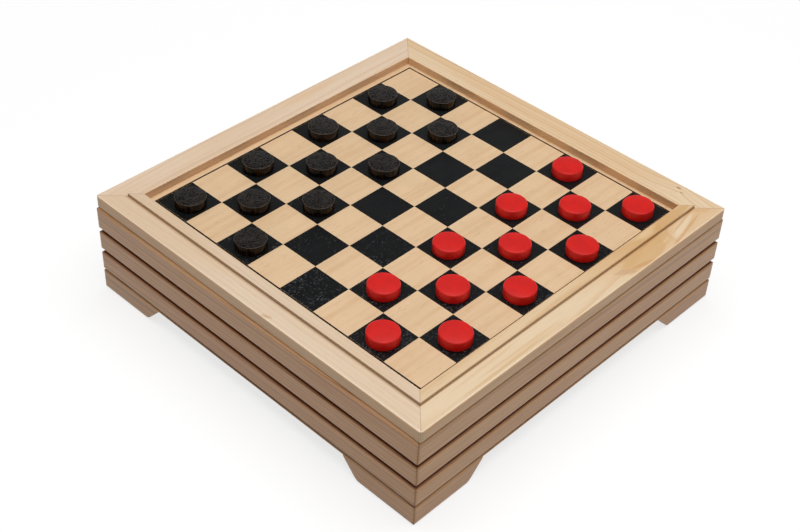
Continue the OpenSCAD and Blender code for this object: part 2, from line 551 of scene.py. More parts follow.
@dataclass(frozen=True)
class Pine:
    """Planed pine under clear satin varnish, or left bare.

    To the eye: pale early wood and narrow tan late wood in each ring, fine fibres along the board, short
    brown resin ducts and soft warm patches, all under a low, even sheen.

    Attributes:
        name: Name of the material.
        turn: Which way the board is turned to lie along X.
        cut: How it was cut from its log.
        early: Colour of the early wood.
        late: Colour of the late wood.
        patch: Colour of the soft warm patches.
        duct: Colour of the resin ducts.
        core: Colour of the core of a knot.
        ring_mm: Mean width of a ring.
        uneven: How many rings the count strays from even.
        pace: How often it strays, to a ring.
        late_show: Strength of the late wood.
        late_start: Share of a ring after which it darkens.
        weakest: Strength of the faintest rings, as a share of the strongest.
        patch_show: Strength of the warm patches.
        patch_at: Values of their pattern at which a patch starts and is full.
        fibre_show: How much the fibres darken the wood.
        duct_show: Strength of the ducts.
        duct_at: Values of their pattern at which a duct starts and is full.
        bow_mm: Size of the waves in which the rings wander.
        cloud_mm: Size of the warm patches.
        fibre_mm: Size of the fibres.
        duct_mm: Size of the ducts, which are really a tenth of a millimetre wide and are drawn about four
            times as coarse.
        relief_mm: Depth of the relief that planing left.
        relief_show: Strength of that relief.
        sheen: How much the roughness differs between fibres.
        surface: How the board is finished.
        knots: Its knots.
        marks: What lies on its grain, in this order.
    """

    name: str
    turn: Turn
    cut: Cut
    early: str = "#E8D3B5"
    late: str = "#CDA06E"
    patch: str = "#E0BE94"
    duct: str = "#9A6B43"
    core: str = "#8A5A38"
    ring_mm: float = 3.0
    uneven: float = 1.6
    pace: float = 0.45
    late_show: float = 0.55
    late_start: float = 0.5
    weakest: float = 0.3
    patch_show: float = 0.5
    patch_at: Span = (0.42, 0.68)
    fibre_show: float = 0.05
    duct_show: float = 0.2
    duct_at: Span = (0.72, 0.8)
    bow_mm: Triple = (190, 70, 70)
    cloud_mm: Triple = (150, 22, 22)
    fibre_mm: Triple = (26, 0.6, 0.6)
    duct_mm: Triple = (9, 0.45, 0.45)
    relief_mm: float = 0.12
    relief_show: float = 0.35
    sheen: float = 0.06
    surface: Surface = Surface.VARNISHED
    knots: tuple[Knot, ...] = ()
    marks: tuple[Mark, ...] = ()

    def material(self) -> Material:
        """Makes the material.

        Returns:
            The pine of this board.
        """
        material, bench = new_material(self.name)
        board = lay(bench, self.turn)
        late = self._late_wood(bench, self._rings(bench, board))
        fibre = figure(bench, board, self.fibre_mm, 3, self.cut.shift)
        colour = self._colour(bench, board, late, fibre)
        for mark in self.marks:
            colour = mark.tint(bench, board, colour)
        self._finish(bench, colour, late, fibre)
        return material

    def _rings(self, bench: Bench, board: Socket) -> Socket:
        """Counts growth rings outwards from the heart of the log.

        Args:
            bench: The material's bench.
            board: Coordinates laid along X.

        Returns:
            The number of rings to each point.
        """
        radius = self._radius(bench, board)
        rings = bench.add("Math", {0: radius, 1: self.ring_mm * MM}, operation="DIVIDE")
        for knot in self.knots:
            near = knot.near(bench, board)
            swell = bench.add("Math", {0: near, 1: knot.swell}, operation="MULTIPLY")
            rings = bench.add("Math", {0: rings, 1: swell}, operation="ADD")
        stray = bench.add("TexNoise", {"W": rings, "Scale": self.pace, "Detail": 0}, noise_dimensions="1D")
        return bench.add("Math", {0: stray, 1: self.uneven, 2: rings}, operation="MULTIPLY_ADD")

    def _radius(self, bench: Bench, board: Socket) -> Socket:
        """Measures how far each point lies from the heart of the log, in wood that has grown uneven.

        Args:
            bench: The material's bench.
            board: Coordinates laid along X.

        Returns:
            The distance from the heart.
        """
        drift = figure(bench, board, self.bow_mm, 1, self.cut.shift, out="Color")
        centred = bench.add("VectorMath", {0: drift, 1: (0.5, 0.5, 0.5)}, operation="SUBTRACT")
        reach = 2 * self.cut.wander_mm * MM
        wander = bench.add("VectorMath", {0: centred, "Scale": reach}, operation="SCALE")
        bent = bench.add("VectorMath", {0: board, 1: wander}, operation="ADD")
        out, up = self.cut.heart_mm
        lean_out, lean_up = self.cut.lean_mm
        log = bench.add(
            "Mapping",
            {"Vector": bent, "Location": (0, -out * MM, -up * MM),
             "Rotation": (0, math.atan(lean_up * MM), math.atan(-lean_out * MM))},
        )
        flat = bench.add("VectorMath", {0: log, 1: (0, 1, 1)}, operation="MULTIPLY")
        return bench.add("VectorMath", {0: flat}, operation="LENGTH", out="Value")

    def _late_wood(self, bench: Bench, rings: Socket) -> Socket:
        """Marks late wood: it darkens slowly through a ring, ends sharply, and is stronger in some rings.

        Args:
            bench: The material's bench.
            rings: The number of rings to each point.

        Returns:
            How much late wood there is at each point.
        """
        age = bench.add("Math", {0: rings}, operation="FRACT")
        ramp = bench.add(
            "ValToRGB", {"Fac": age},
            stops=[(0.0, grey(0.5)), (0.1, grey(0.0)), (self.late_start, grey(0.1)), (0.9, grey(1.0)),
                   (1.0, grey(0.5))],
        )
        whole = bench.add("Math", {0: rings}, operation="FLOOR")
        luck = bench.add("TexWhiteNoise", {"W": whole}, noise_dimensions="1D")
        strength = bench.add("MapRange", {"Value": luck, "To Min": self.weakest, "To Max": 1.0})
        return bench.add("Math", {0: ramp, 1: strength}, operation="MULTIPLY")

    def _colour(self, bench: Bench, board: Socket, late: Socket, fibre: Socket) -> Socket:
        """Colours the timber from its patches, rings, fibres, ducts and knots.

        Args:
            bench: The material's bench.
            board: Coordinates laid along X.
            late: How much late wood there is at each point.
            fibre: The pattern of the fibres.

        Returns:
            The colour of the timber without its marks.
        """
        cloud = figure(bench, board, self.cloud_mm, 1, self.cut.shift)
        start, full = self.patch_at
        warm = bench.add(
            "MapRange", {"Value": cloud, "From Min": start, "From Max": full, "To Max": self.patch_show},
            interpolation_type="SMOOTHSTEP",
        )
        ground = bench.add(
            "Mix", {"Factor": warm, "A": linear(self.early), "B": linear(self.patch)}, data_type="RGBA"
        )
        show = bench.add("Math", {0: late, 1: self.late_show}, operation="MULTIPLY")
        ringed = bench.add("Mix", {"Factor": show, "A": ground, "B": linear(self.late)}, data_type="RGBA")
        light = bench.add(
            "MapRange",
            {"Value": fibre, "From Min": NOISE_LOW, "From Max": NOISE_HIGH,
             "To Min": 1 - self.fibre_show, "To Max": 1 + 0.5 * self.fibre_show},
        )
        fibred = bench.add("VectorMath", {0: ringed, "Scale": light}, operation="SCALE")
        speck = figure(bench, board, self.duct_mm, 0, self.cut.shift)
        start, full = self.duct_at
        share = bench.add(
            "MapRange", {"Value": speck, "From Min": start, "From Max": full, "To Max": self.duct_show}
        )
        colour = bench.add("Mix", {"Factor": share, "A": fibred, "B": linear(self.duct)}, data_type="RGBA")
        for knot in self.knots:
            near = knot.near(bench, board)
            start, full = knot.core_at
            core = bench.add(
                "MapRange", {"Value": near, "From Min": start, "From Max": full, "To Max": knot.dark}
            )
            colour = bench.add("Mix", {"Factor": core, "A": colour, "B": linear(self.core)}, data_type="RGBA")
        return colour

    def _finish(self, bench: Bench, colour: Socket, late: Socket, fibre: Socket) -> None:
        """Adds the sheen, the fine relief of rings and fibres, and the output.

        Args:
            bench: The material's bench.
            colour: The finished colour.
            late: How much late wood there is at each point.
            fibre: The pattern of the fibres.
        """
        relief = bench.add("Math", {0: late, 1: 0.5, 2: fibre}, operation="MULTIPLY_ADD")
        normal = bench.add(
            "Bump",
            {"Height": relief, "Strength": self.relief_show, "Distance": self.relief_mm * MM},
        )
        rough = self.surface.value
        shine = bench.add(
            "MapRange",
            {"Value": fibre, "From Min": NOISE_LOW, "From Max": NOISE_HIGH,
             "To Min": rough + self.sheen, "To Max": rough - self.sheen},
        )
        shader = bench.add(
            "BsdfPrincipled",
            {"Base Color": colour, "Roughness": shine, "IOR": FINISH_IOR, "Normal": normal},
        )
        bench.add("OutputMaterial", {"Surface": shader})


@dataclass(frozen=True)
class Veneer:
    """Pale close-grained veneer, sliced along X and rubbed down under satin varnish.

    To the eye: an even honey colour with long faint streaks, short darker pores that run with the grain,
    and a slow ripple of lighter figure across it.

    Attributes:
        name: Name of the material.
        pale: Its main colour.
        deep: Colour of the streaks.
        pore: Colour of the pores.
        streak_mm: Size of the streaks.
        ripple_mm: Size of the ripple.
        fibre_mm: Size of the fibres.
        pore_mm: Size of the pores, which are finer than the picture can show and are drawn about three
            times as wide.
        streak_at: Values of their pattern at which a streak starts and is full.
        streak_show: Strength of the streaks.
        ripple: How dark and how light the ripple is.
        fine: How dark and how light the fibres are.
        pore_at: Values of their pattern at which a pore starts and is full.
        pore_show: Strength of the pores.
        relief_mm: Depth of the fibres.
        relief_show: Strength of that relief.
        surface: How it is finished.
    """

    name: str
    pale: str = "#E0C099"
    deep: str = "#CCA274"
    pore: str = "#A87C50"
    streak_mm: Triple = (120, 5, 5)
    ripple_mm: Triple = (14, 22, 22)
    fibre_mm: Triple = (16, 0.7, 0.7)
    pore_mm: Triple = (7, 0.5, 0.5)
    streak_at: Span = (0.4, 0.75)
    streak_show: float = 0.4
    ripple: Span = (0.975, 1.025)
    fine: Span = (0.982, 1.01)
    pore_at: Span = (0.74, 0.8)
    pore_show: float = 0.35
    relief_mm: float = 0.08
    relief_show: float = 0.2
    surface: Surface = Surface.VARNISHED

    def material(self) -> Material:
        """Makes the material.

        Returns:
            The veneer.
        """
        material, bench = new_material(self.name)
        board = lay(bench, Turn.BACK)
        fibre = figure(bench, board, self.fibre_mm, 3)
        colour = self._colour(bench, board, fibre)
        normal = bench.add(
            "Bump", {"Height": fibre, "Strength": self.relief_show, "Distance": self.relief_mm * MM}
        )
        shader = bench.add(
            "BsdfPrincipled",
            {"Base Color": colour, "Roughness": self.surface.value, "IOR": FINISH_IOR, "Normal": normal},
        )
        bench.add("OutputMaterial", {"Surface": shader})
        return material

    def _colour(self, bench: Bench, board: Socket, fibre: Socket) -> Socket:
        """Colours the veneer from its streaks, ripple, fibres and pores.

        Args:
            bench: The material's bench.
            board: Coordinates laid along X.
            fibre: The pattern of the fibres.

        Returns:
            The colour.
        """
        streak = figure(bench, board, self.streak_mm, 4)
        start, full = self.streak_at
        share = bench.add(
            "MapRange", {"Value": streak, "From Min": start, "From Max": full, "To Max": self.streak_show},
            interpolation_type="SMOOTHSTEP",
        )
        ground = bench.add(
            "Mix", {"Factor": share, "A": linear(self.pale), "B": linear(self.deep)}, data_type="RGBA"
        )
        lit = ground
        wave = figure(bench, board, self.ripple_mm, 2)
        for pattern, (low, high) in ((wave, self.ripple), (fibre, self.fine)):
            light = bench.add(
                "MapRange",
                {"Value": pattern, "From Min": NOISE_LOW, "From Max": NOISE_HIGH, "To Min": low,
                 "To Max": high},
            )
            lit = bench.add("VectorMath", {0: lit, "Scale": light}, operation="SCALE")
        speck = figure(bench, board, self.pore_mm, 0)
        start, full = self.pore_at
        dark = bench.add(
            "MapRange", {"Value": speck, "From Min": start, "From Max": full, "To Max": self.pore_show}
        )
        return bench.add("Mix", {"Factor": dark, "A": lit, "B": linear(self.pore)}, data_type="RGBA")


@dataclass(frozen=True)
class BlackVeneer:
    """Open-pored veneer stained black and wiped flat.

    To the eye: a soft near-black with pale flecks where the stain did not reach into the pores. The
    flecks run with the grain, in drifts, and are thicker towards the near corner.

    Attributes:
        name: Name of the material.
        black: Its colour where it is evenly stained.
        dull: Its colour between the drifts, where the stain was wiped thin.
        fleck: Colour of the flecks.
        pore_mm: Size of the flecks.
        drift_mm: Size of their drifts.
        thicker: How much thicker they are a metre further along X and Y.
        fleck_show: Strength of the flecks.
        relief_mm: Depth of the pores.
        relief_show: Strength of that relief.
        rough: Its roughness.
        specular: Strength of its shine.
    """

    name: str = "black_stained_veneer"
    black: str = "#08090A"
    dull: str = "#191A1B"
    fleck: str = "#65676A"
    pore_mm: Triple = (1.5, 0.5, 0.5)
    drift_mm: Triple = (22, 10, 10)
    thicker: Span = (-1.6, -1.1)
    fleck_show: float = 0.7
    relief_mm: float = 0.1
    relief_show: float = 0.3
    rough: float = 0.32
    specular: float = 0.15

    def material(self) -> Material:
        """Makes the material.

        Returns:
            The black veneer.
        """
        material, bench = new_material(self.name)
        place = bench.add("TexCoord", out="Object")
        pore = figure(bench, place, self.pore_mm, 1)
        drift = figure(bench, place, self.drift_mm, 3)
        near = bench.add(
            "VectorMath", {0: place, 1: (*self.thicker, 0)}, operation="DOT_PRODUCT", out="Value"
        )
        thick = bench.add("Math", {0: drift, 1: 0.9, 2: near}, operation="MULTIPLY_ADD")
        # Where the drift is thick, a fleck shows at a lower value of the pores' pattern.
        low = bench.add(
            "MapRange", {"Value": thick, "From Min": 0.3, "From Max": 0.85, "To Min": 0.77, "To Max": 0.55}
        )
        over = bench.add("Math", {0: pore, 1: low}, operation="SUBTRACT")
        share = bench.add("MapRange", {"Value": over, "From Max": 0.09, "To Max": self.fleck_show})
        wiped = bench.add(
            "MapRange", {"Value": thick, "From Min": 0.2, "From Max": 0.8, "To Min": 1.0, "To Max": 0.0}
        )
        ground = bench.add(
            "Mix", {"Factor": wiped, "A": linear(self.black), "B": linear(self.dull)}, data_type="RGBA"
        )
        colour = bench.add("Mix", {"Factor": share, "A": ground, "B": linear(self.fleck)}, data_type="RGBA")
        normal = bench.add(
            "Bump", {"Height": pore, "Strength": self.relief_show, "Distance": self.relief_mm * MM}
        )
        shader = bench.add(
            "BsdfPrincipled",
            {"Base Color": colour, "Roughness": self.rough, "IOR": FINISH_IOR,
             "Specular IOR Level": self.specular, "Normal": normal},
        )
        bench.add("OutputMaterial", {"Surface": shader})
        return material


# ------------------------------------------------------------------ lacquer


@dataclass(frozen=True)
class RedLacquer:
    """Turned wood under opaque red lacquer, sprayed and left satin.

    To the eye: one clear red with a soft bright edge, and the faintest mottle where the grain swells.

    Attributes:
        name: Name of the material.
        red: Its main colour.
        shade: Colour of the mottle.
        mottle_mm: Size of the mottle.
        peel_mm: Size of the ripple that spraying leaves.
        relief_mm: Depth of that ripple.
        relief_show: Strength of that relief.
        shine: Its least and its greatest roughness.
        specular: Strength of its shine.
    """

    name: str = "red_satin_lacquer"
    red: str = "#D51B15"
    shade: str = "#C91714"
    mottle_mm: float = 9.0
    peel_mm: float = 1.1
    relief_mm: float = 0.1
    relief_show: float = 0.12
    shine: Span = (0.30, 0.44)
    specular: float = 0.25

    def material(self) -> Material:
        """Makes the material.

        Returns:
            The red lacquer.
        """
        material, bench = new_material(self.name)
        place = bench.add("TexCoord", out="Object")
        cloud = bench.add("TexNoise", {"Vector": place, "Scale": 1 / (self.mottle_mm * MM), "Detail": 2})
        peel = bench.add("TexNoise", {"Vector": place, "Scale": 1 / (self.peel_mm * MM), "Detail": 1})
        share = bench.add("MapRange", {"Value": cloud, "From Min": 0.35, "From Max": 0.65})
        colour = bench.add(
            "Mix", {"Factor": share, "A": linear(self.red), "B": linear(self.shade)}, data_type="RGBA"
        )
        low, high = self.shine
        shine = bench.add("MapRange", {"Value": cloud, "To Min": low, "To Max": high})
        normal = bench.add(
            "Bump", {"Height": peel, "Strength": self.relief_show, "Distance": self.relief_mm * MM}
        )
        shader = bench.add(
            "BsdfPrincipled",
            {"Base Color": colour, "Roughness": shine, "IOR": FINISH_IOR,
             "Specular IOR Level": self.specular, "Normal": normal},
        )
        bench.add("OutputMaterial", {"Surface": shader})
        return material


@dataclass(frozen=True)
class BlackLacquer:
    """Turned wood under thin gloss black lacquer that has sunk into the grain.

    To the eye: a charcoal face, crazed and mottled, with lighter spots of painted sheen, a pale rim of
    painted highlight, and sides that mirror the pale squares, with painted brown reflections of the board.

    Attributes:
        name: Name of the material.
        face: Colour of the face.
        sheen_spot: Colour of the lighter spots on the face, which are painted sheen.
        side: Colour of the sides.
        streak: Colour of the brown streaks down the sides, a painted reflection of the wooden board.
        rim: Colour of the pale rim, a painted highlight.
        rim_mm: Heights over the floor between which the rim lies.
        mottle_mm: Size of the mottle.
        shake_mm: How far the mottle shakes the cracks.
        craze_mm: Size of the pieces between the cracks.
        streak_mm: Size of the streaks down the sides.
        relief_mm: Depth of the cracks and mottle.
        relief_show: Strength of that relief on the sides and on the face.
        side_shine: Least and greatest roughness of the sides.
        face_shine: Least and greatest roughness of the face.
        specular: Strength of its shine.
    """

    name: str = "black_gloss_lacquer"
    face: str = "#0D0908"
    sheen_spot: str = "#251E1A"
    side: str = "#0A0807"
    streak: str = "#332012"
    rim: str = "#8F857C"
    rim_mm: Span = (83.35, 83.75)
    mottle_mm: float = 5.0
    shake_mm: float = 2.5
    craze_mm: float = 2.2
    streak_mm: Triple = (1.3, 1.3, 14)
    relief_mm: float = 0.3
    relief_show: Span = (0.12, 0.8)
    side_shine: Span = (0.05, 0.16)
    face_shine: Span = (0.2, 0.36)
    specular: float = 0.12

    def material(self) -> Material:
        """Makes the material.

        Returns:
            The black lacquer.
        """
        material, bench = new_material(self.name)
        place = bench.add("TexCoord", out="Object")
        up = bench.add("VectorMath", {0: place, 1: (0, 0, 1)}, operation="DOT_PRODUCT", out="Value")
        low, high = self.rim_mm
        top = bench.add("MapRange", {"Value": up, "From Min": low * MM, "From Max": high * MM})
        cloud = bench.add(
            "TexNoise",
            {"Vector": place, "Scale": 1 / (self.mottle_mm * MM), "Detail": 4, "Roughness": 0.65},
        )
        run = figure(bench, place, self.streak_mm, 2)
        colour = self._colour(bench, top, cloud, run)
        height = self._height(bench, place, cloud)
        low, high = self.face_shine
        dull = bench.add("MapRange", {"Value": cloud, "To Min": low, "To Max": high})
        low, high = self.side_shine
        bright = bench.add("MapRange", {"Value": run, "To Min": low, "To Max": high})
        shine = bench.add("Mix", {"Factor": top, "A": bright, "B": dull}, data_type="FLOAT")
        side, face = self.relief_show
        depth = bench.add("MapRange", {"Value": top, "To Min": side, "To Max": face})
        normal = bench.add("Bump", {"Height": height, "Strength": depth, "Distance": self.relief_mm * MM})
        shader = bench.add(
            "BsdfPrincipled",
            {"Base Color": colour, "Roughness": shine, "IOR": FINISH_IOR,
             "Specular IOR Level": self.specular, "Normal": normal},
        )
        bench.add("OutputMaterial", {"Surface": shader})
        return material

    def _colour(self, bench: Bench, top: Socket, cloud: Socket, run: Socket) -> Socket:
        """Colours the face and the sides, with painted sheen, painted reflections and a painted highlight on
        the rim.

        Args:
            bench: The material's bench.
            top: 1 on the face, 0 on the sides, and between them on the rim.
            cloud: The pattern of the mottle.
            run: The pattern of the streaks down the sides.

        Returns:
            The colour.
        """
        # Lighter spots on the face: painted sheen.
        share = bench.add("MapRange", {"Value": cloud, "From Min": 0.4, "From Max": 0.65})
        face = bench.add(
            "Mix", {"Factor": share, "A": linear(self.face), "B": linear(self.sheen_spot)}, data_type="RGBA"
        )
        # Brown streaks down the sides: a painted reflection of the wooden board.
        runs = bench.add("MapRange", {"Value": run, "From Min": 0.45, "From Max": 0.68})
        side = bench.add(
            "Mix", {"Factor": runs, "A": linear(self.side), "B": linear(self.streak)}, data_type="RGBA"
        )
        turned = bench.add("Mix", {"Factor": top, "A": side, "B": face}, data_type="RGBA")
        # A pale line round the rim, between face and sides: a painted highlight.
        rim = bench.add("Math", {0: top, 1: 0.5}, operation="PINGPONG")
        return bench.add("Mix", {"Factor": rim, "A": turned, "B": linear(self.rim)}, data_type="RGBA")

    def _height(self, bench: Bench, place: Socket, cloud: Socket) -> Socket:
        """Shapes the relief: soft mottle, cut by a net of fine cracks.

        Args:
            bench: The material's bench.
            place: Coordinates of the box.
            cloud: The pattern of the mottle.

        Returns:
            The height of the relief.
        """
        bent = bench.add("VectorMath", {0: cloud, "Scale": self.shake_mm * MM}, operation="SCALE")
        shaken = bench.add("VectorMath", {0: place, 1: bent}, operation="ADD")
        craze = bench.add(
            "TexVoronoi", {"Vector": shaken, "Scale": 1 / (self.craze_mm * MM), "Detail": 1},
            feature="DISTANCE_TO_EDGE",
        )
        crack = bench.add("MapRange", {"Value": craze, "From Max": 0.1, "To Min": 1.0, "To Max": 0.0})
        return bench.add("Math", {0: crack, 1: -0.6, 2: cloud}, operation="MULTIPLY_ADD")


# ------------------------------------------------------------------ the box


def dress(node: str, material: Material) -> None:
    """Gives a piece of the frame its material.

    Args:
        node: Name of the piece.
        material: What it is finished with.
    """
    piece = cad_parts[node]
    piece.data.materials.clear()
    piece.data.materials.append(material)
    LOG.info("%s dressed in %s", node, material.name)


@dataclass(frozen=True)
class SideBoard:
    """The pine that one side was cut from: its colours and its place in the log."""

    turn: Turn
    cut: Cut
    early: str
    late: str
    patch: str


@dataclass
class BoxCarcass:
    """The four grooved, mitred side boards on their bracket feet, and the base panel let into them.

    Attributes:
        grooves: The grooves between the slats.
        foot_joint: The line over the foot band, darkened partly with painted shade.
        lid_contact_shadow: The painted contact shadow under the lid, which shows on the front and the back.
        half_x_mm: How far the left and right sides stand from the middle.
        half_y_mm: How far the front and the back stand from it.
        boards: The pine of each side, browner and more orange than the lid's pine, partly as painted shade.
    """

    grooves: tuple[Groove, ...] = (Groove(33.3, 0.9, 0.92), Groove(51.5, 0.9, 0.92))
    foot_joint: Groove = Groove(16.0, 0.0, 0.5)
    lid_contact_shadow: Groove = Groove(71.0, 0.0, 0.8)
    half_x_mm: float = 153.7
    half_y_mm: float = 152.5
    # The sides are browner and more orange than the lid's pine: partly painted shade on these upright faces.
    boards: tuple[SideBoard, ...] = (
        SideBoard(Turn.FRONT, Cut((128, 150), (15, 22), 5, 0.0), "#E0AD79", "#A36B40", "#D39662"),
        SideBoard(Turn.LEFT, Cut((132, -70), (6, -34), 4, 11.3), "#DAA879", "#805030", "#D3996B"),
        SideBoard(Turn.RIGHT, Cut((95, 45), (20, 14), 8, 22.6), "#E0AD79", "#A36B40", "#D39662"),
        SideBoard(Turn.BACK, Cut((100, -20), (-14, 20), 7, 33.9), "#DAA879", "#965F39", "#D3996B"),
    )

    def build(self) -> None:
        """Dresses the sides and the base."""
        for board in self.boards:
            side = board.turn.name.lower()
            dress(f"side_{side}", self._pine(board, side).material())
        ply = Veneer("birch_plywood_base", pale="#E3CBA4", deep="#CFAE80", surface=Surface.BARE)
        dress("base_panel", ply.material())

    def _pine(self, board: SideBoard, side: str) -> Pine:
        """Finishes one side, whose grooves and joints are stained, with painted shade in them.

        Args:
            board: What it was cut from.
            side: Its name.

        Returns:
            The pine of that side.
        """
        lies_along_x = board.turn in (Turn.FRONT, Turn.BACK)
        face, length = (
            (self.half_y_mm, self.half_x_mm) if lies_along_x else (self.half_x_mm, self.half_y_mm)
        )
        joints = (self.foot_joint, self.lid_contact_shadow) if lies_along_x else (self.foot_joint,)
        return Pine(
            name=f"varnished_pine_side_{side}",
            turn=board.turn,
            cut=board.cut,
            early=board.early,
            late=board.late,
            patch=board.patch,
            ring_mm=2.8,
            late_show=0.75,
            late_start=0.68,
            fibre_show=0.07,
            marks=(
                MitreSeam(off_mm=length - face, width_mm=0.9, show=0.6),
                # Red-brown in the grooves: gathered varnish, with painted shade deep in them and over their
                # edges.
                GrooveStainAndShade(self.grooves, face),
                # Dark brown on the joints: painted shade in the line over the foot band, and a painted
                # contact shadow under the lid.
                GrooveStainAndShade(joints, face, colour="#453224"),
            ),
        )


@dataclass
class Dividers:
    """The loose divider and the two that cross it with halving joints.

    Attributes:
        turns: Which way each one is turned to lie along X.
    """

    turns: tuple[tuple[str, Turn], ...] = (
        ("long", Turn.BACK),
        ("cross_left", Turn.LEFT),
        ("cross_right", Turn.RIGHT),
    )

    def build(self) -> None:
        """Dresses the dividers in bare softwood, each from its own board."""
        for i, (name, turn) in enumerate(self.turns):
            pine = Pine(
                name=f"bare_softwood_divider_{name}",
                turn=turn,
                cut=Cut(heart_mm=(50, 15 + 9 * i), shift=31 + 7.7 * i),
                early="#E6CFA8",
                late="#D0A675",
                patch="#E4C59A",
                surface=Surface.BARE,
            )
            dress(f"divider_{name}", pine.material())


# ------------------------------------------------------------------ the lid


@dataclass
class LidFrame:
    """The four mitred rails round the board, and the strips below that keep the lid in place.

    Attributes:
        opening_mm: How far the inner faces of the rails stand from the middle.
        bead_mm: Width of the raised bead.
        outside_mm: How far their outer faces stand from the middle.
    """

    opening_mm: float = 129.0
    bead_mm: float = 8.0
    outside_mm: float = 152.5

    def build(self) -> None:
        """Dresses the rails and the strips."""
        for pine in (self._left(), self._front(), self._right(), self._back()):
            dress(f"lid_rail_{pine.turn.name.lower()}", pine.material())
        for i, turn in enumerate(Turn):
            side = turn.name.lower()
            strip = Pine(
                name=f"bare_pine_strip_{side}",
                turn=turn,
                cut=Cut(heart_mm=(90, 60), shift=53 + 5.1 * i),
                surface=Surface.BARE,
            )
            dress(f"lid_strip_{side}", strip.material())

    @property
    def foot_mm(self) -> float:
        """How far the outer foot of the bead stands from the middle."""
        return self.opening_mm + self.bead_mm

    def _arris_highlight(self) -> Streak:
        """Gives a pale line along the outer top edge of a rail that faces the light: a painted highlight."""
        return Streak(self.outside_mm - 1.1, self.outside_mm - 0.3, "#F6ECDC", 0.5)

    def _moulding(self) -> tuple[Mark, ...]:
        """Gives the marks that every rail has.

        Returns:
            Painted shade along the foot of the bead and on both upright faces, and the mitres.
        """
        return (
            # Painted shade: a dark line in the crease at the foot of the bead, and browner upright faces
            # inside and out.
            Streak(self.foot_mm - 0.35, self.foot_mm + 0.25, "#8A6440", 0.75),
            FaceToneAndShade(self.opening_mm, (0.97, 0.80, 0.64), side=-1),
            FaceToneAndShade(self.outside_mm, (0.98, 0.775, 0.56)),
            MitreSeam(show=0.45),
        )

    def _left(self) -> Pine:
        """Chooses the left rail: straight faint grain and one small brown swirl.

        Returns:
            The pine of that rail.
        """
        return Pine(
            name="varnished_pine_rail_left",
            turn=Turn.LEFT,
            cut=Cut(heart_mm=(86, 50), lean_mm=(9, 5), wander_mm=5, shift=3.1),
            early="#E2CCB2",
            late="#D6AF86",
            patch="#DEBF9C",
            ring_mm=4.2,
            late_show=0.35,
            marks=(
                Patch((-18, 150), (5, 1.6), 20, "#C99A66", 0.6),
                # The bead and the step at its foot a little deeper in tone, and a tan strip on the band
                # beside it.
                FaceToneAndShade(self.foot_mm, (0.96, 0.945, 0.93), side=-1),
                Streak(self.foot_mm, self.foot_mm + 1.8, "#C8A47C", 0.6),
                self._arris_highlight(),
                *self._moulding(),
            ),
        )

    def _front(self) -> Pine:
        """Chooses the front rail: long tan streaks, and a cream and tan swirl cut beside a branch.

        Returns:
            The pine of that rail.
        """
        return Pine(
            name="varnished_pine_rail_front",
            turn=Turn.FRONT,
            cut=Cut(heart_mm=(140, 40), lean_mm=(30, 45), wander_mm=10, shift=17.9),
            early="#E6CDAB",
            late="#CF9A5C",
            patch="#DEB686",
            ring_mm=4.6,
            late_show=0.45,
            patch_show=0.7,
            knots=(Knot(-114, 143, 11, swell=2.0, dark=0.0),),
            marks=(
                # The bead and the step at its foot a little deeper and browner in tone.
                FaceToneAndShade(self.foot_mm, (0.95, 0.905, 0.83), side=-1),
                Patch((78, 149.3), (72, 1.8), 0.6, "#CC9E60", 0.5, soft=0.8),
                Patch((60, 146), (60, 1.8), -0.8, "#CFA066", 0.35, soft=0.8),
                Patch((88, 141), (44, 1.6), 1.5, "#D3A66C", 0.3, soft=0.8),
                Patch((-72, 143), (32, 10), 6, "#D3A973", 0.7, soft=0.35),
                Patch((-47, 146), (9, 3.0), -32, "#C79F80", 0.5, soft=0.4),
                Patch((-62, 149), (12, 2.0), -14, "#C8935A", 0.5),
                Patch((-82, 138), (15, 1.2), 4, "#C8935A", 0.4),
                Patch((-112, 133), (27, 5), 0, "#CFA066", 0.65, soft=0.3),
                Patch((-88, 132), (15, 3), 5, "#E6CA9E", 0.5, soft=0.6),
                Patch((-114, 143), (19, 5), 14, "#EEDCBE", 0.6, soft=0.7),
                Patch((-112, 147.5), (24, 1.4), 12, "#CB9A60", 0.55),
                Patch((-120, 139.6), (20, 1.2), 12, "#CB9A60", 0.5),
                self._arris_highlight(),
                *self._moulding(),
            ),
        )

    def _right(self) -> Pine:
        """Chooses the right rail: clear grain that bends round three small knots.

        Returns:
            The pine of that rail.
        """
        return Pine(
            name="varnished_pine_rail_right",
            turn=Turn.RIGHT,
            cut=Cut(heart_mm=(196, 62), lean_mm=(7, 6), wander_mm=5, shift=29.7),
            early="#E8CEAB",
            late="#C59660",
            patch="#E0BC90",
            ring_mm=3.2,
            late_show=0.6,
            patch_show=0.7,
            knots=(
                Knot(116, 148, 1.5, dark=0.6),
                Knot(120, 152, 1.2, dark=0.6),
                Knot(120.6, 144.5, 1.1, dark=0.6),
                Knot(118, 147, 11, swell=1.6, dark=0.0),
            ),
            marks=self._moulding(),
        )

    def _back(self) -> Pine:
        """Chooses the back rail: plain grain with one broad warm patch.

        Returns:
            The pine of that rail.
        """
        return Pine(
            name="varnished_pine_rail_back",
            turn=Turn.BACK,
            cut=Cut(heart_mm=(92, 30), lean_mm=(10, 6), wander_mm=6, shift=41.3),
            early="#E5CDB2",
            late="#D0A680",
            patch="#DFC0A0",
            ring_mm=4.0,
            late_show=0.45,
            marks=(Patch((42, 146), (34, 4), 0, "#E0BC93", 0.5), *self._moulding()),
        )


@dataclass
class Draughtboard:
    """The board panel with its black squares and the black line round them."""

    def build(self) -> None:
        """Dresses the panel, the squares and the line."""
        dress("board_panel", Veneer("pale_board_veneer").material())
        black = BlackVeneer().material()
        dress("black_squares", black)
        dress("border_line", black)


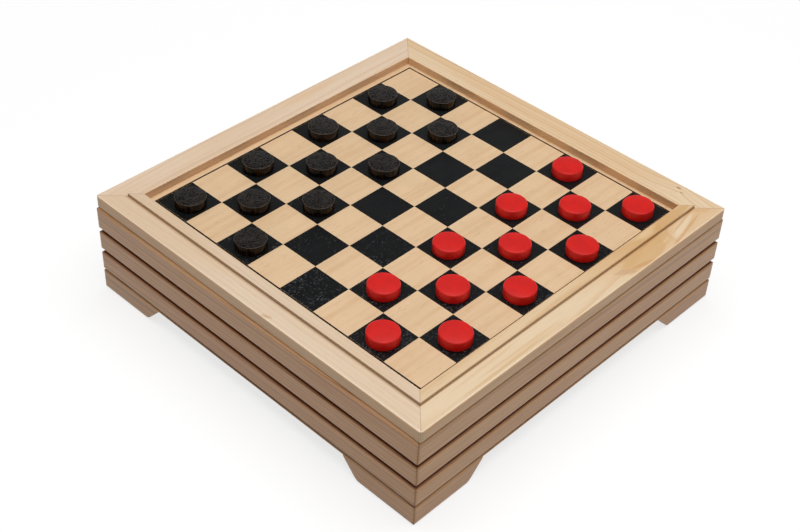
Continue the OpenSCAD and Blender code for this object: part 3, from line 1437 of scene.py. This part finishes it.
@dataclass
class DraughtSet:
    """One player's turned draughts.

    Attributes:
        colour: "red" or "black", as their bodies are named.
        material: Their finish.
        edge_mm: Rounding of the top edge.
        foot_mm: Rounding of the edge that they stand on.
        crown_mm: Rise of the face at its middle.
        steps: How many facets go round.
        bends: How many facets make a rounding.
        count: How many draughts the player has.
    """

    colour: str
    material: Material
    edge_mm: float
    foot_mm: float = 0.6
    crown_mm: float = 0.3
    steps: int = 96
    bends: int = 6
    count: int = 12

    def build(self) -> None:
        """Turns the draughts, each in the place of its piece of the frame."""
        for number in range(1, self.count + 1):
            name = f"{self.colour}_draught_{number:02d}"
            piece = self._turn(name)
            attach(piece, name)
            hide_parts(name)
            LOG.info("%s turned", piece.name)

    def _section(self, radius: float, height: float) -> bmesh.types.BMesh:
        """Draws half the section of a draught, from its axis out and back, with both corners rounded.

        Args:
            radius: Radius of the draught, in metres.
            height: Its height, in metres.

        Returns:
            The line to be spun.
        """
        crown = self.crown_mm * MM
        flat = radius - self.edge_mm * MM
        # Halfway out, the crown has fallen by a quarter.
        corners = [(0, 0), (radius, 0), (radius, height - crown), (0.5 * flat, height - 0.25 * crown),
                   (0, height)]
        section = bmesh.new()
        verts = [section.verts.new((x, 0, z)) for x, z in corners]
        for one, other in zip(verts, verts[1:]):
            section.edges.new((one, other))
        for vert, rounding in ((verts[1], self.foot_mm), (verts[2], self.edge_mm)):
            bmesh.ops.bevel(
                section, geom=[vert], offset=rounding * MM, offset_type="OFFSET", affect="VERTICES",
                segments=self.bends, profile=0.5, material=-1,
            )
        return section

    def _turn(self, name: str) -> bpy.types.Object:
        """Turns one draught: its half section is spun about its axis.

        Args:
            name: The piece of the frame that it stands for.

        Returns:
            The finished piece, with its place in its mesh.
        """
        low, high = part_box(name)
        axis = Vector(((low.x + high.x) / 2, (low.y + high.y) / 2, low.z))
        solid = self._section((high.x - low.x) / 2, high.z - low.z)
        bmesh.ops.spin(
            solid, geom=solid.verts[:] + solid.edges[:], cent=(0, 0, 0), axis=(0, 0, 1),
            angle=2 * math.pi, steps=self.steps, use_merge=True,
        )
        bmesh.ops.remove_doubles(solid, verts=solid.verts[:], dist=0.01 * MM)
        bmesh.ops.recalc_face_normals(solid, faces=solid.faces[:])
        bmesh.ops.translate(solid, verts=solid.verts[:], vec=axis)
        for face in solid.faces:
            face.smooth = True
        mesh = bpy.data.meshes.new(f"{name}_turned")
        solid.to_mesh(mesh)
        solid.free()
        mesh.materials.append(self.material)
        piece = bpy.data.objects.new(f"{name}_turned", mesh)
        bpy.context.scene.collection.objects.link(piece)
        return piece


# ------------------------------------------------------------------ the studio


@dataclass
class Studio:
    """A white sweep, one broad soft light overhead, and the camera where the picture was taken from.

    Attributes:
        floor_m: Half the width of the floor.
        shadow_m: Distances from the middle between which the shadowed floor turns to plain white.
        paper: How much light the floor near the box gives back.
        glow: Strength of the light that it gives of its own, so that it looks nearly white.
        bounce: How much light the floor sends back up at the sides of the box.
        lamp_m: Width of the light.
        lamp_at_m: Where the light hangs.
        lamp_watts: Power of the light, at which a level surface renders as it is painted.
        fill: Strength of the light that comes from all round.
        sweep: How far up the surroundings turn from white to dim, as the sine of the angle.
        dim: Strength of the surroundings above that.
        azimuth_deg: Which side the camera stands on; 0 looks along +Y.
        elevation_deg: How far the camera looks down.
        roll_deg: How far the camera is turned about its own axis.
        focal_px: Focal length in pixels of the picture.
        eye_mm: The camera's place from the middle of the board, along its own right, up and back.
        board_mm: Height of the board's face over the floor.
    """

    floor_m: float = 4.0
    shadow_m: Span = (0.3, 0.75)
    paper: float = 0.3
    glow: float = 0.74
    bounce: float = 0.35
    lamp_m: float = 1.3
    lamp_at_m: Triple = (0.0, -0.12, 1.25)
    lamp_watts: float = 15.0
    fill: float = 0.25
    sweep: Span = (0.25, 0.5)
    dim: float = 0.13
    azimuth_deg: float = -47.602
    elevation_deg: float = 40.060
    roll_deg: float = 2.799
    focal_px: float = 1428.1
    eye_mm: Triple = (-8.80, -40.83, 978.4)
    board_mm: float = 76.7

    def build(self) -> None:
        """Lays the floor, sets the lights and places the camera."""
        self._floor()
        self._lamp()
        self._world()
        self._camera()
        bpy.context.scene.view_settings.view_transform = "Standard"

    def _floor(self) -> None:
        """Lays the pale floor."""
        shape = bmesh.new()
        bmesh.ops.create_grid(shape, x_segments=1, y_segments=1, size=self.floor_m)
        mesh = bpy.data.meshes.new("floor")
        shape.to_mesh(mesh)
        shape.free()
        mesh.materials.append(self._paper())
        floor = bpy.data.objects.new("floor", mesh)
        bpy.context.scene.collection.objects.link(floor)

    def _paper(self) -> Material:
        """Makes the floor's paper. Near the box it keeps the shadow; further off it is plain white.

        Returns:
            The material of the floor.
        """
        material, bench = new_material("white_paper_floor")
        place = bench.add("TexCoord", out="Object")
        away = bench.add("VectorMath", {0: place}, operation="LENGTH", out="Value")
        start, end = self.shadow_m
        far = bench.add("MapRange", {"Value": away, "From Min": start, "From Max": end})
        paper = bench.add("BsdfDiffuse", {"Color": grey(self.paper)})
        glow = bench.add("Emission", {"Color": grey(1.0), "Strength": self.glow})
        near_look = bench.add("AddShader", {0: paper, 1: glow})
        white = bench.add("Emission", {"Color": grey(1.0), "Strength": 1.0})
        look = bench.add("MixShader", {0: far, 1: near_look, 2: white})
        dull = bench.add("BsdfDiffuse", {"Color": grey(self.bounce)})
        shader = bench.add("MixShader", {0: self._seen(bench), 1: dull, 2: look})
        bench.add("OutputMaterial", {"Surface": shader})
        return material

    def _seen(self, bench: Bench) -> Socket:
        """Marks the light that reaches the camera straight, by reflection or through glass.

        Args:
            bench: The bench of the floor or of the world.

        Returns:
            1 on such rays, and 0 on all others.
        """
        total = None
        for ray in ("Is Camera Ray", "Is Glossy Ray", "Is Transmission Ray"):
            one = bench.add("LightPath", out=ray)
            total = one if total is None else bench.add("Math", {0: total, 1: one}, operation="MAXIMUM")
        return total

    def _lamp(self) -> None:
        """Hangs the broad soft light over the box."""
        light = bpy.data.lights.new("overhead_softbox", "AREA")
        light.shape = "SQUARE"
        light.size = self.lamp_m
        light.energy = self.lamp_watts
        lamp = bpy.data.objects.new("overhead_softbox", light)
        lamp.location = self.lamp_at_m
        lamp.visible_camera = False
        bpy.context.scene.collection.objects.link(lamp)

    def _world(self) -> None:
        """Paints the surroundings: white to about 15 degrees up, dim above, and an even fill on the box."""
        world = bpy.data.worlds.new("white_sweep")
        world.use_nodes = True
        bpy.context.scene.world = world
        bench = Bench(world.node_tree)
        way = bench.add("TexCoord", out="Generated")
        up = bench.add("VectorMath", {0: way, 1: (0, 0, 1)}, operation="DOT_PRODUCT", out="Value")
        start, end = self.sweep
        sweep = bench.add(
            "MapRange",
            {"Value": up, "From Min": start, "From Max": end, "To Min": 1.0, "To Max": self.dim},
        )
        seen = self._seen(bench)
        strength = bench.add("Mix", {"Factor": seen, "A": self.fill, "B": sweep}, data_type="FLOAT")
        light = bench.add("Background", {"Color": grey(1.0), "Strength": strength})
        bench.add("OutputWorld", {"Surface": light})

    def _camera(self) -> None:
        """Places the camera as it was worked out from the squares and edges in the picture."""
        around, down, roll = map(math.radians, (self.azimuth_deg, self.elevation_deg, self.roll_deg))
        back = Vector(
            (math.sin(around) * math.cos(down), -math.cos(around) * math.cos(down), math.sin(down))
        )
        right = Vector((math.cos(around), math.sin(around), 0))
        above = back.cross(right)
        x_axis = math.cos(roll) * right + math.sin(roll) * above
        y_axis = math.cos(roll) * above - math.sin(roll) * right
        turn = Matrix((x_axis, y_axis, back)).transposed()
        data = bpy.data.cameras.new("camera")
        data.sensor_width = SENSOR_MM
        data.lens = self.focal_px * SENSOR_MM / PICTURE_W
        camera = bpy.data.objects.new("camera", data)
        eye = turn @ Vector(self.eye_mm) * MM + Vector((0, 0, self.board_mm * MM))
        camera.matrix_world = Matrix.Translation(eye) @ turn.to_4x4()
        bpy.context.scene.collection.objects.link(camera)
        bpy.context.scene.camera = camera


def main() -> None:
    """Builds the box, its lid, its draughts and the studio."""
    logging.basicConfig(level=logging.INFO, format="%(name)s: %(message)s")
    Studio().build()
    BoxCarcass().build()
    Dividers().build()
    LidFrame().build()
    Draughtboard().build()
    DraughtSet("red", RedLacquer().material(), edge_mm=1.0).build()
    DraughtSet("black", BlackLacquer().material(), edge_mm=0.5).build()


if __name__ == "__main__":
    main()
